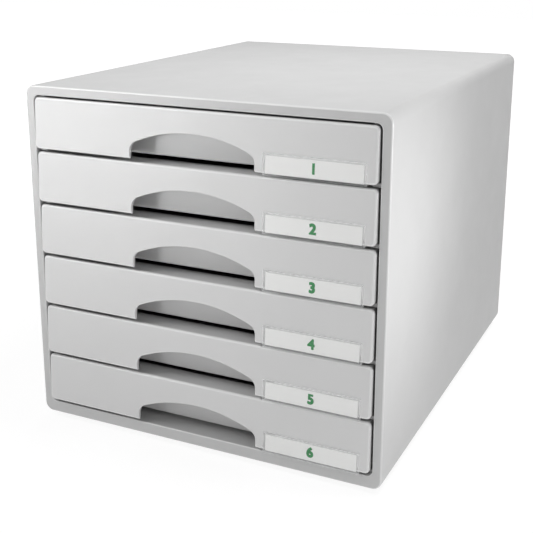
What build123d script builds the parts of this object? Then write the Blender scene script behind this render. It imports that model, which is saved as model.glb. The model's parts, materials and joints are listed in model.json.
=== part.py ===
"""Desk drawer unit: a moulded housing with stacked drawers, clip-on label covers and rubber feet.

Origin on the table under the middle of the unit, +X to the right seen from the front,
+Y to the rear, +Z up. All lengths are in millimetres.
"""

import os

from build123d import *

# Drawer fronts
drawer_count = 6
front_width = 270.4
front_height = 38.5
front_wall = 2.4
front_return = 4.5
front_corner = 3.5
front_edge = 2.0
front_top_proud = 1.3
front_bottom_proud = 3.3
front_gap = 2.6
sill_gap = 2.8
top_gap = 1.4
side_gap = 1.4

# Arched grip cut-out in each front, and the pocket behind it
grip_width = 99.5
grip_offset = -1.8
grip_rise = 22.0
grip_side = 10.5
grip_corner = 7.5
grip_edge = 0.4
grip_depth = 20.0
pocket_margin = 15.0
pocket_rib = 1.8

# Housing
housing_depth = 356.5
housing_wall = 2.6
housing_corner = 7.0
housing_front_edge = 1.5
housing_rear_edge = 0.8
frame_side = 6.9
frame_top = 7.1
frame_bottom = 9.7
frame_depth = 4.0
opening_corner = 4.5
opening_edge = 1.0
sill_depth = 30.0
sill_wall = 2.6

# Rails moulded on the inner side walls
rail_thickness = 2.8
rail_overlap = 4.0
rail_clearance = 0.25
rail_start_clearance = 1.0

# Rear panel, with the beads that hold it
panel_wall = 2.5
panel_recess = 1.6
panel_clearance = 0.3
panel_rib_count = 5
panel_rib_width = 6.0
panel_rib_height = 0.9
panel_rib_margin = 24.0
bead_count = 3
bead_length = 32.0
bead_height = 1.1
bead_width = 1.1
bead_clearance = 0.15

# Drawer trays
tray_inset = 1.7
tray_wall = 2.0
tray_floor = 1.8
tray_lift = 0.2
tray_corner = 6.0
tray_floor_round = 1.6
tray_rear_clearance = 0.4
rim_drop = 1.1
rim_lip = 1.5
rim_thickness = 2.0
travel = 270.0
lug_length = 9.0
lug_flat = 3.0
lug_height = 12.0
lug_clearance = 2.0
stop_clearance = 0.3

# Clip-on label cover and its card
label_width = 73.5
label_height = 14.4
label_margin = 7.2
label_pocket = 0.5
label_wall = 0.9
label_web = 0.8
label_rim = 1.4
label_edge = 0.3
hook_height = 4.0
hook_wall = 0.9
hook_clearance = 0.3
card_thickness = 0.4
card_clearance = 0.4

# Push-in rubber feet
foot_height = 5.0
foot_radius = 9.0
foot_flare = 1.0
foot_edge = 0.8
foot_inset_x = 30.0
foot_inset_y = 38.0
stem_radius = 2.9
stem_clearance = 0.1
head_radius = 4.2
head_height = 1.8

# Every cut runs this far past the face that it opens
overrun = 1.0

# Sizes that follow from the values above
pitch = front_height + front_gap
opening_width = front_width + 2 * side_gap
opening_height = drawer_count * pitch - front_gap + sill_gap + top_gap
housing_width = opening_width + 2 * frame_side
housing_height = opening_height + frame_top + frame_bottom
inner_width = housing_width - 2 * housing_wall
inner_height = housing_height - 2 * housing_wall
inner_corner = housing_corner - housing_wall
label_proud = label_pocket + label_wall
front_lean = (front_bottom_proud - front_top_proud) / front_height

# Places along Y: the deepest overall extent is centred on the origin
overall_depth = housing_depth + front_bottom_proud + label_proud
rear_y = overall_depth / 2
front_y = rear_y - housing_depth
frame_rear_y = front_y + frame_depth
face_y = front_y - front_bottom_proud
face_back_y = face_y + front_wall
panel_rear_y = rear_y - panel_recess
panel_front_y = panel_rear_y - panel_wall
tray_front_y = face_y + grip_depth
tray_rear_y = panel_front_y - tray_rear_clearance

# Places along Z: level 0 is the lowest drawer
housing_middle = foot_height + housing_height / 2
opening_bottom = foot_height + frame_bottom
opening_middle = opening_bottom + opening_height / 2
front_bottom = opening_bottom + sill_gap
front_top = front_bottom + front_height
tray_bottom = front_bottom + tray_lift
rim_top = front_top - rim_drop
rail_top = tray_bottom - rail_clearance

tray_width = front_width - 2 * tray_inset
tray_length = tray_rear_y - tray_front_y
tray_middle_y = (tray_rear_y + tray_front_y) / 2
tray_height = rim_top - tray_bottom
label_left = front_width / 2 - label_margin - label_width
label_middle_x = label_left + label_width / 2
label_top = front_bottom + label_height
label_bottom = front_bottom - label_web


def upright_plane(y):
    """Sketch plane facing the front at depth y; a positive extrusion comes forward."""
    return Plane.XZ.offset(-y)


def leaning(y, z):
    """Side view point at height z on the line that leans with the front and is at y at its bottom edge."""
    return (y + front_lean * (z - front_bottom), z)


# Housing shell: a sleeve with a front frame, a sill and rails, open at the rear
rail_inner = tray_width / 2 - rail_overlap
rail_width = inner_width / 2 - rail_inner
rail_spacing = inner_width - rail_width
rail_middle_z = rail_top - rail_thickness / 2 + drawer_count * pitch / 2
rail_front_y = frame_rear_y + rail_start_clearance
rail_length = panel_front_y - rail_front_y
bead_y = panel_rear_y + bead_clearance
bead_spacing = inner_width / bead_count
foot_spacing_x = housing_width - 2 * foot_inset_x
foot_spacing_y = housing_depth - 2 * foot_inset_y
foot_middle_y = (front_y + rear_y) / 2

with BuildPart() as housing:
    with BuildSketch(upright_plane(rear_y)):
        with Locations((0, housing_middle)):
            RectangleRounded(housing_width, housing_height, housing_corner)
    extrude(amount=housing_depth)
    fillet(housing.faces().sort_by(Axis.Y)[0].edges(), housing_front_edge)
    fillet(housing.faces().sort_by(Axis.Y)[-1].edges(), housing_rear_edge)

    # Hollow behind the front frame
    with BuildSketch(upright_plane(rear_y)):
        with Locations((0, housing_middle)):
            RectangleRounded(inner_width, inner_height, inner_corner)
    extrude(amount=housing_depth - frame_depth, mode=Mode.SUBTRACT)

    # Front opening
    with BuildSketch(upright_plane(frame_rear_y)):
        with Locations((0, opening_middle)):
            RectangleRounded(opening_width, opening_height, opening_corner)
    extrude(amount=frame_depth + overrun, mode=Mode.SUBTRACT)
    fillet(housing.faces().sort_by(Axis.Y)[0].inner_wires()[0].edges(), opening_edge)

    # Sill behind the bottom bar of the frame
    with BuildSketch(upright_plane(front_y + sill_depth)):
        with Locations((0, opening_bottom - sill_wall / 2)):
            Rectangle(inner_width, sill_wall)
    extrude(amount=sill_depth - frame_depth)

    # One rail under each drawer on both sides, and a guide above the top one
    with BuildSketch(upright_plane(panel_front_y)):
        with Locations((0, rail_middle_z)):
            with GridLocations(rail_spacing, pitch, 2, drawer_count + 1):
                Rectangle(rail_width, rail_thickness)
    extrude(amount=rail_length)

    # Wedge beads inside the top and bottom skins that the rear panel snaps past
    for index in range(bead_count):
        bead_x = (index - (bead_count - 1) / 2) * bead_spacing
        with BuildSketch(Plane.YZ.offset(bead_x - bead_length / 2)):
            for side in (-1, 1):
                skin_z = housing_middle + side * inner_height / 2
                with BuildLine():
                    Polyline(
                        (bead_y, skin_z),
                        (bead_y, skin_z - side * bead_height),
                        (bead_y + bead_width, skin_z),
                        close=True,
                    )
                make_face()
        extrude(amount=bead_length)

    # Holes for the stems of the feet
    with Locations((0, foot_middle_y, foot_height + housing_wall / 2)):
        with GridLocations(foot_spacing_x, foot_spacing_y, 2, 2):
            Cylinder(stem_radius + stem_clearance, housing_wall + overrun, mode=Mode.SUBTRACT)
housing.part.label = "housing_shell"


# Rear panel: a ribbed plate that drops into the open rear of the shell
panel_width = inner_width - 2 * panel_clearance
panel_height = inner_height - 2 * panel_clearance
panel_rib_pitch = panel_height / (panel_rib_count + 1)

with BuildPart() as rear_panel:
    with BuildSketch(upright_plane(panel_rear_y)):
        with Locations((0, housing_middle)):
            RectangleRounded(panel_width, panel_height, inner_corner - panel_clearance)
    extrude(amount=panel_wall)
    with BuildSketch(upright_plane(panel_rear_y + panel_rib_height)):
        with Locations((0, housing_middle)):
            with GridLocations(panel_width, panel_rib_pitch, 1, panel_rib_count):
                SlotOverall(panel_width - 2 * panel_rib_margin, panel_rib_width)
    extrude(amount=panel_rib_height)
rear_panel.part.label = "rear_panel"


# Drawer front, lowest level: a plate with returned ends that leans out at the bottom, rounded all round,
# with the arched grip cut-out
front_middle_z = front_bottom + front_height / 2
return_y = face_y + front_return
hollow_width = front_width - 2 * front_wall
grip_left = grip_offset - grip_width / 2
grip_right = grip_offset + grip_width / 2
before_front = (front_width / 4, face_y - front_height, front_middle_z)

with BuildPart() as front:
    with BuildSketch(Plane.YZ.offset(-front_width / 2)):
        with BuildLine():
            Polyline(
                (return_y, front_bottom),
                leaning(face_y, front_bottom),
                leaning(face_y, front_top),
                (return_y, front_top),
                close=True,
            )
        make_face()
    extrude(amount=front_width)
    with BuildSketch(upright_plane(return_y)):
        with Locations((0, front_middle_z)):
            RectangleRounded(front_width, front_height, front_corner)
    extrude(amount=front_return, mode=Mode.INTERSECT)
    fillet(front.faces().filter_by(GeomType.PLANE).sort_by_distance(before_front)[0].edges(), front_edge)

    # Hollow between the returned ends
    with BuildSketch(Plane.YZ.offset(-hollow_width / 2)):
        with BuildLine():
            Polyline(
                (tray_front_y, front_bottom),
                leaning(face_back_y, front_bottom),
                leaning(face_back_y, front_top),
                (tray_front_y, front_top),
                close=True,
            )
        make_face()
    extrude(amount=hollow_width, mode=Mode.SUBTRACT)

    # Cut-out, open at the bottom edge
    with BuildSketch(upright_plane(return_y)) as grip:
        with BuildLine():
            Polyline(
                (grip_left, front_bottom + grip_side),
                (grip_left, front_bottom - overrun),
                (grip_right, front_bottom - overrun),
                (grip_right, front_bottom + grip_side),
            )
            ThreePointArc(
                (grip_right, front_bottom + grip_side),
                (grip_offset, front_bottom + grip_rise),
                (grip_left, front_bottom + grip_side),
            )
        make_face()
        fillet(grip.vertices().group_by(Axis.Y)[-1], grip_corner)
    extrude(amount=front_return + overrun, mode=Mode.SUBTRACT)
    face_edges = front.faces().filter_by(GeomType.PLANE).sort_by_distance(before_front)[0].edges()
    grip_edges = face_edges.filter_by_position(Axis.X, grip_left, grip_right)
    fillet(grip_edges.filter_by_position(Axis.Z, front_bottom, front_bottom + grip_rise), grip_edge)


# Drawer tray, lowest level: tray, hooded grip pocket and front in one moulding
inner_tray_width = tray_width - 2 * tray_wall
inner_tray_length = tray_length - 2 * tray_wall
pocket_half = grip_width / 2 + pocket_margin + pocket_rib / 2
hook_top = front_bottom + hook_height
hook_slot_y, hook_slot_top = leaning(face_back_y + hook_wall + hook_clearance, hook_top + hook_clearance)
hook_slot_height = hook_slot_top - label_bottom
lug_y = frame_rear_y + stop_clearance + travel
lug_x = inner_width / 2 - lug_clearance

with BuildPart() as tray:
    with BuildSketch(Plane.XY.offset(tray_bottom)):
        with Locations((0, tray_middle_y)):
            tray_outline = Rectangle(tray_width, tray_length)
        fillet(tray_outline.vertices().group_by(Axis.Y)[-1], tray_corner)
    extrude(amount=tray_height)
    with BuildSketch(Plane.XY.offset(tray_bottom + tray_floor)):
        with Locations((0, tray_middle_y)):
            RectangleRounded(inner_tray_width, inner_tray_length, tray_corner - tray_wall)
    extrude(amount=tray_height, mode=Mode.SUBTRACT)
    inner_floor = tray.faces().filter_by(Axis.Z).group_by(Axis.Z)[1]
    fillet(inner_floor.edges(), tray_floor_round)

    # Lips along both sides of the rim, under the rail above
    with BuildSketch(Plane.XY.offset(rim_top - rim_thickness)):
        with Locations((0, tray_middle_y)):
            with GridLocations(tray_width + rim_lip, tray_length, 2, 1):
                Rectangle(rim_lip, tray_length - 2 * tray_corner)
    extrude(amount=rim_thickness)

    # Ledge that joins the front to the tray over the grip pocket
    with BuildSketch(Plane.YZ.offset(-tray_width / 2)):
        with BuildLine():
            Polyline(
                (tray_front_y, rim_top - rim_thickness),
                leaning(face_back_y, rim_top - rim_thickness),
                leaning(face_back_y, rim_top),
                (tray_front_y, rim_top),
                close=True,
            )
        make_face()
    extrude(amount=tray_width)

    # Cheeks at both ends and a rib on each side of the grip pocket
    for web_left, web_wall in (
        (-tray_width / 2, tray_wall),
        (tray_width / 2 - tray_wall, tray_wall),
        (grip_offset - pocket_half - pocket_rib / 2, pocket_rib),
        (grip_offset + pocket_half - pocket_rib / 2, pocket_rib),
    ):
        with BuildSketch(Plane.YZ.offset(web_left)):
            with BuildLine():
                Polyline(
                    (tray_front_y, tray_bottom),
                    leaning(face_back_y, tray_bottom),
                    leaning(face_back_y, rim_top),
                    (tray_front_y, rim_top),
                    close=True,
                )
            make_face()
        extrude(amount=web_wall)

    # Slot across the ribs that clears the hook of the label cover
    with BuildSketch(upright_plane(hook_slot_y)):
        with Locations((label_middle_x, label_bottom + hook_slot_height / 2)):
            Rectangle(label_width + 2 * hook_clearance, hook_slot_height)
    extrude(amount=hook_slot_y - face_back_y, mode=Mode.SUBTRACT)

    add(front)

    # Stop lugs that meet the back of the front frame when the drawer is pulled out
    with BuildSketch(Plane.XY.offset(tray_bottom + (tray_height - lug_height) / 2)):
        with BuildLine():
            Polyline(
                (tray_width / 2 - tray_wall / 2, lug_y),
                (lug_x, lug_y),
                (lug_x, lug_y + lug_flat),
                (tray_width / 2 - tray_wall / 2, lug_y + lug_length),
                close=True,
            )
        make_face()
        mirror(about=Plane.YZ)
    extrude(amount=lug_height)
tray.part.label = "drawer_tray"


# Label cover, lowest level: a clear shallow cap that leans with the front and hooks under its edge
cover_y = face_y - label_proud
pocket_y = face_y - label_pocket
hook_y = face_back_y + hook_wall
rim_bottom = label_top - label_rim

with BuildPart() as cover:
    with BuildSketch(Plane.YZ.offset(label_left)):
        with BuildLine():
            Polyline(
                leaning(cover_y, label_bottom),
                leaning(cover_y, label_top),
                leaning(face_y, label_top),
                leaning(face_y, rim_bottom),
                leaning(pocket_y, rim_bottom),
                leaning(pocket_y, front_bottom),
                leaning(face_back_y, front_bottom),
                leaning(face_back_y, hook_top),
                leaning(hook_y, hook_top),
                leaning(hook_y, label_bottom),
                close=True,
            )
        make_face()
    extrude(amount=label_width)
    for end_left in (label_left, label_left + label_width - label_rim):
        with BuildSketch(Plane.YZ.offset(end_left)):
            with BuildLine():
                Polyline(
                    leaning(face_y, front_bottom),
                    leaning(pocket_y, front_bottom),
                    leaning(pocket_y, rim_bottom),
                    leaning(face_y, rim_bottom),
                    close=True,
                )
            make_face()
        extrude(amount=label_rim)
    fillet(cover.faces().sort_by(Axis.Y)[0].edges(), label_edge)
cover.part.label = "label_cover"


# Label card, lowest level: lies against the front inside the cover
card_width = label_width - 2 * label_rim - 2 * card_clearance
card_y = face_y - card_thickness
card_bottom = front_bottom + card_clearance
card_top = rim_bottom - card_clearance

with BuildPart() as card:
    with BuildSketch(Plane.YZ.offset(label_middle_x - card_width / 2)):
        with BuildLine():
            Polyline(
                leaning(face_y, card_bottom),
                leaning(card_y, card_bottom),
                leaning(card_y, card_top),
                leaning(face_y, card_top),
                close=True,
            )
        make_face()
    extrude(amount=card_width)
card.part.label = "label_card"


# Foot, centred on its own axis: pad, stem through the skin and retaining head
stem_top = foot_height + housing_wall + stem_clearance
head_top = stem_top + head_height

with BuildPart() as foot:
    with BuildSketch(Plane.XZ):
        with BuildLine():
            Polyline(
                (0, 0),
                (foot_radius, 0),
                (foot_radius + foot_flare, foot_height),
                (stem_radius, foot_height),
                (stem_radius, stem_top),
                (head_radius, stem_top),
                (stem_radius, head_top),
                (0, head_top),
                close=True,
            )
        make_face()
    revolve(axis=Axis.Z)
    fillet(foot.edges().group_by(Axis.Z)[0], foot_edge)
foot.part.label = "foot"


# Written files: one per piece, drawers numbered from the top
def write(piece, name, place=Location()):
    placed = piece.part.moved(place)
    placed.label = name
    export_step(placed, f"parts/{name}.step")


os.makedirs("parts", exist_ok=True)
write(housing, "housing_shell")
write(rear_panel, "rear_panel")
for depth_name, depth_side in (("front", -1), ("rear", 1)):
    for width_name, width_side in (("left", -1), ("right", 1)):
        foot_x = width_side * foot_spacing_x / 2
        foot_y = foot_middle_y + depth_side * foot_spacing_y / 2
        write(foot, f"foot_{depth_name}_{width_name}", Location((foot_x, foot_y, 0)))
for number in range(1, drawer_count + 1):
    level = Location((0, 0, (drawer_count - number) * pitch))
    write(tray, f"drawer_tray_{number}", level)
    write(cover, f"label_cover_{number}", level)
    write(card, f"label_card_{number}", level)
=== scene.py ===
# %% [markdown]
# # A desk drawer unit, lit and dressed
# The cabinet is a moulded plastic sleeve on four rubber feet, with six flat drawers for A4 paper.
# Each drawer has an arched cut-out to pull it by and a paper label behind a clear cover.
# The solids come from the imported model, so this lesson is about camera, light and finish.
# A piece that this lesson adds rides on the body that carries it, and moves with its drawer.

import json
import math

import bpy
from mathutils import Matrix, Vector

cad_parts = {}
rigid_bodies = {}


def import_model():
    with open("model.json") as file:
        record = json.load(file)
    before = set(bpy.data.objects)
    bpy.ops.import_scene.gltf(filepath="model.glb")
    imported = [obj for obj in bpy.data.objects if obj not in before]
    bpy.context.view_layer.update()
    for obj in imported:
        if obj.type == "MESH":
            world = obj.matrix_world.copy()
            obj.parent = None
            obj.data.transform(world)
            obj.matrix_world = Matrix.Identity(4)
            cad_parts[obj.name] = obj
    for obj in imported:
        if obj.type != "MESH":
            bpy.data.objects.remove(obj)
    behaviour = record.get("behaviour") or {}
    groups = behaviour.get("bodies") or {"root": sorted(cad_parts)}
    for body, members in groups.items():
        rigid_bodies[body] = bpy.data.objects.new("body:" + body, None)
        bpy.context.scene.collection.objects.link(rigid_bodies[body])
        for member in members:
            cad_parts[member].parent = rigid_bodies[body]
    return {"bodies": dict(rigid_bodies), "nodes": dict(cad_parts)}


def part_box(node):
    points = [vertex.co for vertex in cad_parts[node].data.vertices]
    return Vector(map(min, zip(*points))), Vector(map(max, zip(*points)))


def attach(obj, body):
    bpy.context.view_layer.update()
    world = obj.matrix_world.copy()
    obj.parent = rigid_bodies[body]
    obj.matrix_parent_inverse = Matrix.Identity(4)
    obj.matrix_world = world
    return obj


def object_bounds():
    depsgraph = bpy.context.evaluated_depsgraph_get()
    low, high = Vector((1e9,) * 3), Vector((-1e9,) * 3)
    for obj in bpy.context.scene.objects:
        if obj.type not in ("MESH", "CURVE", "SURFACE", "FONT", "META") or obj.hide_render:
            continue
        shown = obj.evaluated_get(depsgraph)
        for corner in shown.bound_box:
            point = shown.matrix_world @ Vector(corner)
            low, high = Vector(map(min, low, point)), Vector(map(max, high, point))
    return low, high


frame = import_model()
kept = list(frame["nodes"].values()) + list(frame["bodies"].values())
for left_over in [thing for thing in bpy.data.objects if thing not in kept]:
    bpy.data.objects.remove(left_over)
cad_low, cad_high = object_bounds()
drawers = range(1, 1 + sum(name.startswith("drawer_tray") for name in frame["nodes"]))


def millimetres(sides, digits=1):
    """Sides in metres as rounded millimetres."""
    return [round(side * 1000, digits) for side in sides]


print("cabinet", millimetres(cad_high - cad_low), "mm")
print(len(frame["nodes"]), "pieces,", len(drawers), "drawers")

# %% [markdown]
# ## The camera
# The cabinet is seen from the front right, a little from above, at about arm's length.
# Lens and place were found by matching the cabinet's corners to their places in the picture.
# A small downward shift keeps the upright edges nearly parallel, as a shift lens does.
# It stays small.

# %% Camera
camera_place = Vector((0.33256, -0.75313, 0.37516))
camera_turn = math.radians(25.621)
camera_dip = math.radians(15.110)
lens_length = 66.12
lens_shift = -0.12
nearest_seen = 0.02

camera_data = bpy.data.cameras.new("camera")
camera_data.lens = lens_length
camera_data.shift_y = lens_shift
camera_data.clip_start = nearest_seen
camera = bpy.data.objects.new("camera", camera_data)
camera.location = camera_place
camera.rotation_euler = (math.pi / 2 - camera_dip, 0, camera_turn)
bpy.context.scene.collection.objects.link(camera)
bpy.context.scene.camera = camera
bpy.context.scene.view_settings.view_transform = "Standard"
cabinet_middle = (cad_low + cad_high) / 2
print("camera stands", round((camera_place - cabinet_middle).length, 2), "m from the middle")

# %% [markdown]
# ## Nodes in one line
# Room, floor, finishes and small pieces are all made of nodes,
# and each node needs the same three steps: make it, set it, feed its inputs.
# Written out, they would bury the idea of each tree,
# so one helper does them, and a tree reads as a list of its nodes.

# %% Node helper
def node(tree, kind, inputs, **settings):
    """A new node with these settings; an input gets a fixed value or the socket that feeds it."""
    made = tree.nodes.new(kind)
    for name, value in settings.items():
        setattr(made, name, value)
    for name, value in inputs.items():
        if isinstance(value, bpy.types.NodeSocket):
            tree.links.new(value, made.inputs[name])
        else:
            made.inputs[name].default_value = value
    return made


print("node helper ready for Blender", bpy.app.version_string)

# %% [markdown]
# ## A white room
# Product pictures are taken on a white sweep, so nothing but the object has an outline.
# The room could be a modelled cove, but a plain floor and a white world look the same.
# What the lens and the mirror rays meet is plain white, while the light that falls on the
# plastic is set apart from it, so the background never washes out the grey.

# %% Room
room_light = 0.405
white = (1, 1, 1, 1)


def seen_directly(tree):
    """A socket that is 1 where the room is looked at, mirrored or seen through something clear."""
    path = node(tree, "ShaderNodeLightPath", {}).outputs
    both = node(tree, "ShaderNodeMath", {0: path["Is Camera Ray"], 1: path["Is Glossy Ray"]},
                operation="ADD")
    every = node(tree, "ShaderNodeMath", {0: both.outputs[0], 1: path["Is Transmission Ray"]},
                 operation="ADD", use_clamp=True)
    return every.outputs[0]


def lit_or_seen(tree, lit, seen):
    """The lit shader for light thrown at things, and the seen one where it is looked at."""
    choice = node(tree, "ShaderNodeMixShader", {"Fac": seen_directly(tree), 1: lit, 2: seen})
    return choice.outputs[0]


world = bpy.data.worlds.new("white_room")
world.use_nodes = True
bpy.context.scene.world = world
room = world.node_tree
room.nodes.clear()
falling = node(room, "ShaderNodeBackground", {"Color": white, "Strength": room_light})
shown = node(room, "ShaderNodeBackground", {"Color": white, "Strength": 1})
room_shader = lit_or_seen(room, falling.outputs[0], shown.outputs[0])
node(room, "ShaderNodeOutputWorld", {"Surface": room_shader})
print("room light", room_light, "and white where it is seen")

# %% [markdown]
# ## The floor
# The cabinet stands on the white sweep and leaves a soft shadow round its feet.
# A real sweep curves up behind the object. Here the white room takes over behind the floor,
# so one flat sheet is enough.

# %% Floor
floor_size = 8.0

half = floor_size / 2
corners = [(-half, -half, 0), (half, -half, 0), (half, half, 0), (-half, half, 0)]
floor_mesh = bpy.data.meshes.new("floor")
floor_mesh.from_pydata(corners, [], [(0, 1, 2, 3)])
floor = bpy.data.objects.new("floor", floor_mesh)
bpy.context.scene.collection.objects.link(floor)
print("floor", floor_size, "m square")

# %% [markdown]
# ## White paper that keeps a shadow
# More light would whiten the floor too, but it would wash out the plastic.
# So the floor glows just short of white where it is seen, and the lamps add the rest:
# it is white in the light and pale grey in the cabinet's shadow.
# The glow rises to full white farther out, so the floor meets the white room without a seam.
# For the light that it throws back at the plastic it is plain white paper.

# %% Floor finish
near_reach, near_glow = 0.3, 0.86
far_reach, far_glow = 0.9, 1.0
floor_answer = (0.22, 0.22, 0.22, 1)
floor_paper = (0.8, 0.8, 0.8, 1)
floor_bounce = 0.31

sweep = bpy.data.materials.new("white_sweep")
sweep.use_nodes = True
floor_mesh.materials.append(sweep)
paper = sweep.node_tree
paper.nodes.clear()


def glowing_paper(colour, strength):
    """Plain paper that also glows by itself."""
    glow = node(paper, "ShaderNodeEmission", {"Strength": strength})
    plain = node(paper, "ShaderNodeBsdfDiffuse", {"Color": colour})
    return node(paper, "ShaderNodeAddShader", {0: glow.outputs[0], 1: plain.outputs[0]}).outputs[0]


def run(tree, value, start, end, low=0, high=1):
    """The value's run from start to end, as low to high."""
    ranged = node(tree, "ShaderNodeMapRange", {
        "Value": value, "From Min": start, "From Max": end, "To Min": low, "To Max": high,
    })
    return ranged.outputs["Result"]


place = node(paper, "ShaderNodeTexCoord", {})
distance = node(paper, "ShaderNodeVectorMath", {0: place.outputs["Object"]}, operation="LENGTH")
seen_glow = run(paper, distance.outputs["Value"], near_reach, far_reach, near_glow, far_glow)
lit_paper = glowing_paper(floor_paper, floor_bounce)
seen_paper = glowing_paper(floor_answer, seen_glow)
node(paper, "ShaderNodeOutputMaterial", {"Surface": lit_or_seen(paper, lit_paper, seen_paper)})
print("floor glow", near_glow, "at", near_reach, "m, rising to", far_glow, "at", far_reach, "m")

# %% [markdown]
# ## The lamps
# In the picture the fronts are brightest at the upper left and grow darker towards the lower right,
# so a soft panel stands at the front left, with a narrow beam on the upper corner.
# The beam stands low, because the grips are bright up to the top of their arches.
# The right wall is brightest near its front edge, where a narrow beam from the right meets it.
# Two panels hang over the top.
# One sun would be simpler, but it lights every part of a flat wall alike.
# The fine bright lines along the rounded edges need lamps where a mirror there would show them:
# one high on the left for the upper edges, one low on the right for the upright edges.
# The last panel stands behind and lights only the rear wall.

# %% Lamps
# each lamp: where it stands, where it aims, its width, its beam in degrees and its watts
lamps = {
    "left_panel": ((-0.6, -1.08, 0.3), (-0.1, -0.18, 0.26), 0.4, 60, 0.115),
    "left_beam": ((-0.6, -1.08, 0.18), (-0.16, -0.18, 0.31), 0.3, 26, 0.132),
    "right_beam": ((0.85, 0.2, 0.15), (0.143, -0.19, 0.19), 0.15, 28, 0.097),
    "right_edge_panel": ((0.95, -0.35, 0.05), (0.143, -0.17, 0.14), 0.3, 30, 0.069),
    "top_panel": ((0.4, 0.1, 1.15), (0.05, 0.0, 0.27), 0.5, 60, 0.7),
    "top_rear_panel": ((-0.3, 0.6, 1.1), (-0.05, 0.12, 0.27), 0.6, 60, 0.16),
    "top_edge_panel": ((-0.6, -0.6, 0.9), (0.0, -0.15, 0.27), 0.4, 50, 0.3),
    "rear_panel_light": ((0.0, 1.2, 0.14), (0.0, 0.18, 0.14), 0.25, 50, 0.2),
}
for name, (stand, aim, width, beam, watts) in lamps.items():
    lamp_data = bpy.data.lights.new(name, "AREA")
    lamp_data.shape = "DISK"
    lamp_data.size = width
    lamp_data.spread = math.radians(beam)
    lamp_data.energy = watts
    lamp = bpy.data.objects.new(name, lamp_data)
    lamp.location = stand
    lamp.visible_camera = False
    lamp.rotation_euler = (Vector(aim) - Vector(stand)).to_track_quat("-Z", "Y").to_euler()
    bpy.context.scene.collection.objects.link(lamp)
print("lamps:", ", ".join(lamps))

# %% [markdown]
# ## Patterns for moulded plastic
# The cabinet and its drawers are moulded in light grey plastic with a fine satin grain, which the
# mould leaves all over, and the flow of the melt leaves slow changes of gloss and shade.
# A painted grain would stretch on the long walls, so the patterns are solid noise in the
# object's own metres: a fine one for the grain, slow ones for gloss and shade.

# %% Patterns
pattern_middle = (0.3, 0.7)


def noise(tree, scale, detail, roughness):
    """A noise pattern in the object's own metres, scale features to the metre."""
    place = node(tree, "ShaderNodeTexCoord", {})
    pattern = node(tree, "ShaderNodeTexNoise", {
        "Vector": place.outputs["Object"], "Scale": scale, "Detail": detail, "Roughness": roughness,
    })
    return pattern.outputs["Fac"]


def spread(tree, pattern, low, high):
    """The pattern's middle values spread over low to high."""
    return run(tree, pattern, *pattern_middle, low, high)


def shades(tree, pattern, colour, change):
    """The colour, a little darker and lighter along the pattern."""
    ramp = node(tree, "ShaderNodeValToRGB", {"Fac": pattern})
    for stop, at, share in zip(ramp.color_ramp.elements, pattern_middle, (1 - change, 1 + change)):
        stop.position = at
        stop.color = [part * share for part in colour] + [1]
    return ramp.outputs["Color"]


print("patterns spread their values from", *pattern_middle)

# %% [markdown]
# ## Painted highlights on the rounded edges
# The rounded edges round the fronts and the housing's frame get a painted highlight: a paler colour
# than the faces beside them, which stands in for the fine lines of light along them, and a smoother
# gloss.
# A painted mask would do, but the rounding itself tells where an edge is:
# between a face that looks forward or back and a wall that looks aside, the surface turns.

# %% Edge mask
edge_start = (0.1, 0.35)
edge_end = (0.99, 0.92)


def facing(tree):
    """A socket that is 1 on a front or rear face and 0 on the walls, the top and the bottom."""
    shape = node(tree, "ShaderNodeNewGeometry", {})
    parts = node(tree, "ShaderNodeSeparateXYZ", {0: shape.outputs["Normal"]})
    return node(tree, "ShaderNodeMath", {0: parts.outputs["Y"]}, operation="ABSOLUTE").outputs[0]


def rounded(tree):
    """A socket that is 1 on rounded edges round a front or rear face, and 0 on the faces."""
    turned = facing(tree)
    ends = [run(tree, turned, *end) for end in (edge_start, edge_end)]
    return node(tree, "ShaderNodeMath", {0: ends[0], 1: ends[1]}, operation="MULTIPLY").outputs[0]


def blend(tree, kind, share, plain, other):
    """Between the plain socket and the other value, by the share socket."""
    first, second, result = {"FLOAT": (2, 3, 0), "RGBA": (6, 7, 2)}[kind]
    mixed = node(tree, "ShaderNodeMix", {0: share, first: plain, second: other}, data_type=kind)
    return mixed.outputs[result]


print("an edge starts to turn at", edge_start, "and ends at", edge_end)

# %% [markdown]
# ## Plastic, rubber and paper
# All of them are dull with a grain of their own, so one recipe serves them with other numbers.
# The grain lifts the surface by a few hundredths of a millimetre, which softens what it mirrors.
# The drawers are a shade lighter than the housing, as they are in the picture,
# and only the two plastics have a painted highlight on their rounded edges.

# %% Finishes
# a flow: features to the metre, detail and roughness of the noise
shade_flow = (18, 2, 0.5)
gloss_flow = (45, 3, 0.6)
grain_detail = (2, 0.6)
mould_grain = (0.0009, 0.00002)
edge_gloss = 0.25


def finish(name, colour, change, gloss, grain, lift, edge=None):
    """A finish: shade change, gloss range, grain size and lift in metres, shade of the painted edge
    highlight.
    """
    material = bpy.data.materials.new(name)
    material.use_nodes = True
    tree = material.node_tree
    shade = shades(tree, noise(tree, *shade_flow), colour, change)
    rough = spread(tree, noise(tree, *gloss_flow), *gloss)
    if edge:
        # painted highlight: the rounded edges get a paler colour and a smoother gloss
        painted_edge_highlight = rounded(tree)
        shade = blend(tree, "RGBA", painted_edge_highlight, shade, (edge, edge, edge, 1))
        rough = blend(tree, "FLOAT", painted_edge_highlight, rough, edge_gloss)
    height = noise(tree, 1 / grain, *grain_detail)
    bump = node(tree, "ShaderNodeBump", {"Strength": 1, "Distance": lift, "Height": height})
    surface = tree.nodes["Principled BSDF"].inputs
    tree.links.new(shade, surface["Base Color"])
    tree.links.new(rough, surface["Roughness"])
    tree.links.new(bump.outputs["Normal"], surface["Normal"])
    return material


# edge is the colour of the painted highlight on the rounded edges
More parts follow.
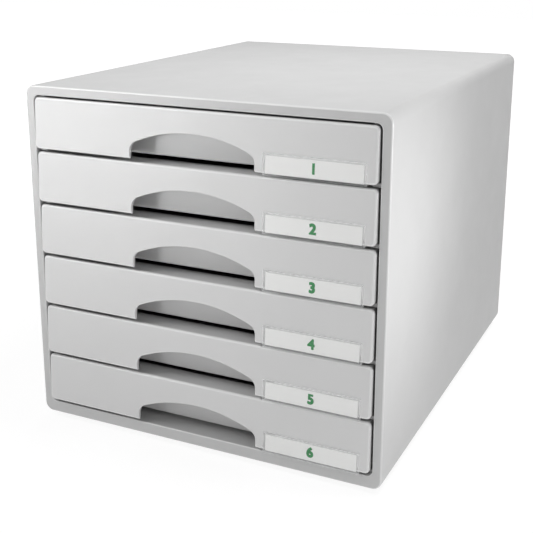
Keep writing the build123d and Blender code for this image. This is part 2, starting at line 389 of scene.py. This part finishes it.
housing_plastic = finish("housing_plastic_satin", (0.54, 0.54, 0.54), 0.012, (0.44, 0.52),
                         *mould_grain, edge=0.74)
drawer_plastic = finish("drawer_plastic_satin", (0.66, 0.66, 0.66), 0.012, (0.42, 0.5),
                        *mould_grain, edge=0.8)
foot_rubber = finish("foot_rubber_matte", (0.05, 0.05, 0.052), 0.1, (0.7, 0.85), 0.0012, 0.00006)
label_paper = finish("label_paper_matte", (0.86, 0.86, 0.85), 0.01, (0.75, 0.9), 0.0004, 0.00002)
print("finishes:", housing_plastic.name, drawer_plastic.name, foot_rubber.name, label_paper.name)

# %% [markdown]
# ## The clear covers
# A label cover is a thin clear window that snaps over the front's lower edge.
# Bending glass would be the obvious way, but the rims of such a thin cap then turn dark,
# because the light that real plastic carries sideways to its rims is costly to follow.
# So the window is almost wholly see-through, and the rims, where that light comes out, are milky.
# A window throws hardly any shadow on the paper behind it, so the covers throw none.

# %% Clear finish
cover_colour = (0.9, 0.91, 0.91, 1)
cover_bending = 1.49
cover_milk = 0.03
# painted light: the cover's rims are made milky white where real plastic would let out the light it
# carries
rim_painted_light = 0.4
rim_turn = (0.5, 0.95)
cover_flow = (60, 2, 0.5)
cover_gloss = (0.06, 0.12)

clear_plastic = bpy.data.materials.new("cover_plastic_clear")
clear_plastic.use_nodes = True
clear = clear_plastic.node_tree
window = clear.nodes["Principled BSDF"].inputs
window["Base Color"].default_value = cover_colour
window["IOR"].default_value = cover_bending
clear.links.new(run(clear, facing(clear), *rim_turn, rim_painted_light, cover_milk), window["Alpha"])
clear.links.new(spread(clear, noise(clear, *cover_flow), *cover_gloss), window["Roughness"])
for number in drawers:
    frame["nodes"][f"label_cover_{number}"].visible_shadow = False
print("a cover lets", round((1 - cover_milk) ** 2, 2), "of the card's light through")

# %% [markdown]
# ## Handing out the finishes
# Every solid already has a slot for its finish, and its name tells what it is made of.
# So the finish goes into that slot, and the solids themselves stay as they were packed.

# %% Hand out the finishes
finish_of = {
    "housing_shell": housing_plastic, "rear_panel": housing_plastic, "foot": foot_rubber,
    "drawer_tray": drawer_plastic, "label_cover": clear_plastic, "label_card": label_paper,
}
for name, piece in frame["nodes"].items():
    kind = next(kind for kind in finish_of if name.startswith(kind))
    for slot in piece.material_slots:
        slot.material = finish_of[kind]
print("dressed", len(frame["nodes"]), "pieces")

# %% [markdown]
# ## Growing pieces from trees
# Numbers and mould marks repeat from drawer to drawer, so each kind is one Geometry Nodes tree
# with named inputs. Copying a finished mesh would also do, but a tree keeps its sizes in one place.
# A modifier grows the piece, the result is kept as a plain mesh, and the modifier comes off.

# %% Tree helpers
def new_tree(name, sockets):
    """An empty Geometry Nodes tree and the sockets of its named inputs."""
    tree = bpy.data.node_groups.new(name, "GeometryNodeTree")
    for label, kind in sockets.items():
        tree.interface.new_socket(label, in_out="INPUT", socket_type=f"NodeSocket{kind}")
    tree.interface.new_socket("Geometry", in_out="OUTPUT", socket_type="NodeSocketGeometry")
    return tree, node(tree, "NodeGroupInput", {}).outputs


def form(tree, kind, inputs, **settings):
    """The first output of a new geometry node of that kind."""
    return node(tree, f"GeometryNode{kind}", inputs, **settings).outputs[0]


def close_tree(tree, shape, material):
    """Ends a tree: instances become real faces, and the faces get their finish."""
    real = form(tree, "RealizeInstances", {"Geometry": shape})
    dressed = form(tree, "SetMaterial", {"Geometry": real, "Material": material})
    node(tree, "NodeGroupOutput", {0: dressed})
    print(tree.name, "tree:", len(tree.nodes), "nodes")


def grown(name, tree, values):
    """A plain mesh object grown by the tree from these input values."""
    piece = bpy.data.objects.new(name, bpy.data.meshes.new(name))
    bpy.context.scene.collection.objects.link(piece)
    growth = piece.modifiers.new("growth", "NODES")
    growth.node_group = tree
    for socket in tree.interface.items_tree:
        if socket.name in values:
            growth[socket.identifier] = values[socket.name]
    full = piece.evaluated_get(bpy.context.evaluated_depsgraph_get())
    mesh = bpy.data.meshes.new_from_object(full)
    piece.modifiers.remove(growth)
    piece.data = mesh
    mesh.name = name
    return piece


print("a tree is opened by", new_tree.__name__, "and closed by", close_tree.__name__)

# %% [markdown]
# ## Numbers on the cards
# A paper card lies behind each clear cover. A plain number in green ink tells the drawers apart.
# A text object would do for one number, but six of them follow one rule, so the tree
# sets the digit, fills its outline, bolds it with a band along the outline and lays it on its card.
# The ink has a little body, so that it stands clear of the paper.

# %% Number tree
weld = 0.000001
ink = finish("label_ink_green", (0.005, 0.22, 0.05), 0.06, (0.5, 0.65), 0.0004, 0.000005)
number_tree, given = new_tree("card_number", {
    "Digit": "String", "Height": "Float", "Weight": "Float", "Body": "Float",
    "Place": "Vector", "Turn": "Vector",
})
text = form(number_tree, "StringToCurves", {"String": given["Digit"], "Size": given["Height"]},
            align_x="CENTER", align_y="MIDDLE")
outline = form(number_tree, "RealizeInstances", {"Geometry": text})
flat = form(number_tree, "FillCurve", {"Curve": outline})
raised = form(number_tree, "ExtrudeMesh", {
    "Mesh": flat, "Offset Scale": given["Body"], "Individual": False,
})
under = form(number_tree, "FlipFaces", {"Mesh": flat})
upright = form(number_tree, "SetCurveNormal", {"Curve": outline}, mode="Z_UP")
stroke = form(number_tree, "CurvePrimitiveQuadrilateral", {
    "Width": given["Weight"], "Height": given["Body"],
})
band = form(number_tree, "CurveToMesh", {"Curve": upright, "Profile Curve": stroke})
joined = node(number_tree, "GeometryNodeJoinGeometry", {})
for layer in (raised, under, band):
    number_tree.links.new(layer, joined.inputs[0])
welded = form(number_tree, "MergeByDistance", {"Geometry": joined.outputs[0], "Distance": weld})
laid = form(number_tree, "Transform", {
    "Geometry": welded, "Translation": given["Place"], "Rotation": given["Turn"],
})
close_tree(number_tree, laid, ink)

# %% [markdown]
# The cards lean back a little with the drawer fronts. The lean could be copied as a number,
# but measuring it on each card's corners keeps the ink on the paper if the fronts ever change.

# %% Numbers
digit_height = 0.0098
stroke_weight = 0.0013
ink_body = 0.00005


def card_face(name):
    """Middle of a card's front face and its lean, from the card's corners."""
    low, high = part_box(name)
    corners = [corner.co for corner in frame["nodes"][name].data.vertices]
    middle_z = (low.z + high.z) / 2
    bottom_y = min(corner.y for corner in corners if corner.z < middle_z)
    top_y = min(corner.y for corner in corners if corner.z > middle_z)
    lean = math.atan2(top_y - bottom_y, high.z - low.z)
    return Vector(((low.x + high.x) / 2, (bottom_y + top_y) / 2, middle_z)), lean


for number in drawers:
    face, lean = card_face(f"label_card_{number}")
    digit = grown(f"card_number_{number}", number_tree, {
        "Digit": str(number), "Height": digit_height, "Weight": stroke_weight, "Body": ink_body,
        "Place": face, "Turn": Vector((math.pi / 2 - lean, 0, 0)),
    })
    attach(digit, f"drawer_{number}")
print("numbers lean", round(math.degrees(lean), 1), "degrees")
print("the last is", millimetres(digit.dimensions, 2), "mm")

# %% [markdown]
# ## Ejector marks
# Pins push each drawer out of its mould and leave faint round rims on its floor.
# A bump in the finish could draw them, but they catch the light better as real rims,
# so a tree lays a rim on each point of a grid, one mesh to a drawer.

# %% Mark tree
ring_corners = 28
mark_tree, given = new_tree("ejector_marks", {
    "Columns": "Int", "Rows": "Int", "Width": "Float", "Length": "Float",
    "Radius": "Float", "Rim": "Float", "Rise": "Float", "Place": "Vector",
})
spots = form(mark_tree, "MeshGrid", {
    "Size X": given["Width"], "Size Y": given["Length"],
    "Vertices X": given["Columns"], "Vertices Y": given["Rows"],
})
ring = form(mark_tree, "CurvePrimitiveCircle", {
    "Resolution": ring_corners, "Radius": given["Radius"],
})
section = form(mark_tree, "CurvePrimitiveQuadrilateral", {
    "Width": given["Rim"], "Height": given["Rise"],
})
rim = form(mark_tree, "CurveToMesh", {"Curve": ring, "Profile Curve": section})
marks = form(mark_tree, "InstanceOnPoints", {"Points": spots, "Instance": rim})
laid = form(mark_tree, "Transform", {"Geometry": marks, "Translation": given["Place"]})
close_tree(mark_tree, laid, drawer_plastic)

# %% [markdown]
# The marks lie on the floor inside the tray, which no corner of its box tells.
# A ray sent down through the middle of the open tray finds the floor's height.

# %% Marks
mark_radius = 0.005
mark_rim = 0.0007
mark_rise = 0.0004
mark_columns = 4
mark_rows = 5
mark_margin = 0.06
ray_start = 0.05
down = Vector((0, 0, -1))


def tray_floor(name):
    """The tray's length and width, and the middle of its floor."""
    low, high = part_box(name)
    middle = (low + high) / 2
    above = Vector((middle.x, middle.y, high.z + ray_start))
    hit = frame["nodes"][name].ray_cast(above, down)[1]
    return high.y - low.y, high.x - low.x, Vector((middle.x, middle.y, hit.z))


for number in drawers:
    length, width, middle = tray_floor(f"drawer_tray_{number}")
    rims = grown(f"tray_marks_{number}", mark_tree, {
        "Columns": mark_columns, "Rows": mark_rows,
        "Width": width - 2 * mark_margin, "Length": length - 2 * mark_margin,
        "Radius": mark_radius, "Rim": mark_rim, "Rise": mark_rise, "Place": middle,
    })
    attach(rims, f"drawer_{number}")
print(mark_columns * mark_rows, "marks to a tray, floor at", round(middle.z * 1000, 2), "mm")
